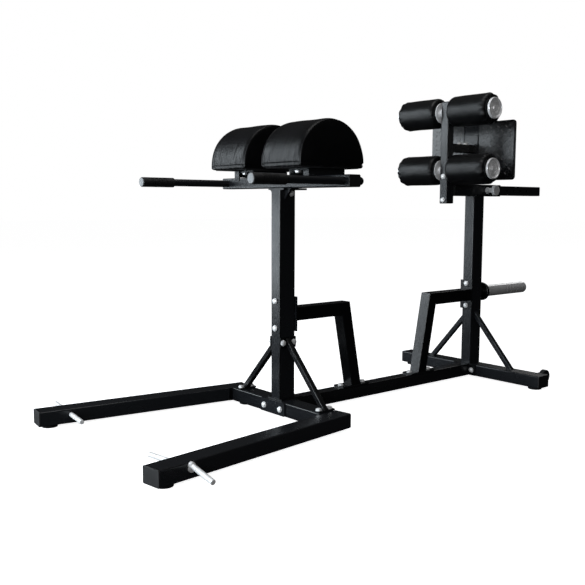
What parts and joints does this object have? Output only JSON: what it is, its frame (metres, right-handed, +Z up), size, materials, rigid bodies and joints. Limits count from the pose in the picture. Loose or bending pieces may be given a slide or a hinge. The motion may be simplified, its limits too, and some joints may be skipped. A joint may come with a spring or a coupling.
{
  "type": "roman chair",
  "caption": "Glute-ham style roman chair with half-round hip pads, side handles, sliding ankle rollers and foot plate, floor frame and a rear weight sleeve.",
  "frame": {"origin": "on the floor, under the middle of the machine's overall box", "axes": "+Z up; +Y from the hip pads towards the ankle rollers and the weight sleeve; +X to the side that carries the pop-pin"},
  "size_m": [1.0281, 2.2819, 1.19],
  "materials": {
    "black_paint": "satin powder coat",
    "zinc_steel": "bright zinc plate",
    "chrome": "polished chrome",
    "black_vinyl": "glossy grained vinyl over foam",
    "board_cloth": "black dust cloth stapled over a board",
    "black_rubber": "matt moulded rubber",
    "black_plastic": "moulded",
    "pale_plastic": "moulded"
  },
  "bodies": {
    "frame": {"band_peg_left": "zinc_steel", "band_peg_right": "zinc_steel", "frame_bolts": "zinc_steel", "front_brace_left": "black_paint", "front_brace_right": "black_paint", "front_clamp_plate": "black_paint", "front_cross_beam": "black_paint", "front_leg_left": "black_paint", "front_leg_right": "black_paint", "front_post": "black_paint", "front_step": "black_paint", "guide_bushes": "black_plastic", "guide_sleeve": "black_paint", "handle_grip_left": "black_rubber", "handle_grip_right": "black_rubber", "handle_left": "black_paint", "handle_plugs": "pale_plastic", "handle_rear_caps": "black_plastic", "handle_right": "black_paint", "hip_pad_left": "black_vinyl", "hip_pad_right": "black_vinyl", "leg_end_caps": "black_plastic", "main_beam": "black_paint", "pad_boards": "board_cloth", "pad_bolts": "zinc_steel", "pad_brackets": "black_paint", "pin_barrel": "zinc_steel", "rear_beam_caps": "black_plastic", "rear_brace_left": "black_paint", "rear_brace_right": "black_paint", "rear_cross_beam": "black_paint", "rear_post": "black_paint", "rear_step": "black_paint", "rubber_feet": "black_rubber", "sleeve_stub": "black_paint", "top_arm": "black_paint", "top_arm_caps": "black_plastic", "weight_sleeve": "chrome", "weight_sleeve_cap": "black_plastic", "wheel_axles": "zinc_steel", "wheel_brackets": "black_paint"},
    "carriage": {"slide_tube": "black_paint", "slide_tube_cap": "black_plastic", "roller_upright": "black_paint", "upright_caps": "black_plastic", "roller_axles": "zinc_steel", "roller_end_caps": "chrome", "roller_collars": "chrome", "foot_arm": "black_paint", "foot_plate": "black_paint", "foot_treads": "black_rubber", "carriage_bolts": "zinc_steel"},
    "upper_roller_left_body": {"upper_roller_left": "black_vinyl"},
    "upper_roller_right_body": {"upper_roller_right": "black_vinyl"},
    "lower_roller_left_body": {"lower_roller_left": "black_vinyl"},
    "lower_roller_right_body": {"lower_roller_right": "black_vinyl"},
    "pop_pin_body": {"pop_pin": "zinc_steel"},
    "transport_wheel_left_body": {"transport_wheel_left": "black_plastic"},
    "transport_wheel_right_body": {"transport_wheel_right": "black_plastic"}
  },
  "joints": [
    {"name": "carriage_slide", "type": "slide", "parent": "frame", "child": "carriage", "axis": [0, 1, 0], "range_m": [-0.3, 0]},
    {"name": "upper_left_roller_turn", "type": "hinge", "parent": "carriage", "child": "upper_roller_left_body", "pos_m": [-0.13, 0.493, 1.127], "axis": [1, 0, 0], "continuous": true},
    {"name": "upper_right_roller_turn", "type": "hinge", "parent": "carriage", "child": "upper_roller_right_body", "pos_m": [0.13, 0.493, 1.127], "axis": [1, 0, 0], "continuous": true},
    {"name": "lower_left_roller_turn", "type": "hinge", "parent": "carriage", "child": "lower_roller_left_body", "pos_m": [-0.13, 0.493, 0.893], "axis": [1, 0, 0], "continuous": true},
    {"name": "lower_right_roller_turn", "type": "hinge", "parent": "carriage", "child": "lower_roller_right_body", "pos_m": [0.13, 0.493, 0.893], "axis": [1, 0, 0], "continuous": true},
    {"name": "pop_pin_pull", "type": "slide", "parent": "frame", "child": "pop_pin_body", "axis": [1, 0, 0], "range_m": [0, 0.012], "stiffness_N_per_m": 1200, "springref_m": -0.004},
    {"name": "left_wheel_turn", "type": "hinge", "parent": "frame", "child": "transport_wheel_left_body", "pos_m": [-0.33, 0.752, 0.042], "axis": [1, 0, 0], "continuous": true},
    {"name": "right_wheel_turn", "type": "hinge", "parent": "frame", "child": "transport_wheel_right_body", "pos_m": [0.33, 0.752, 0.042], "axis": [1, 0, 0], "continuous": true}
  ]
}
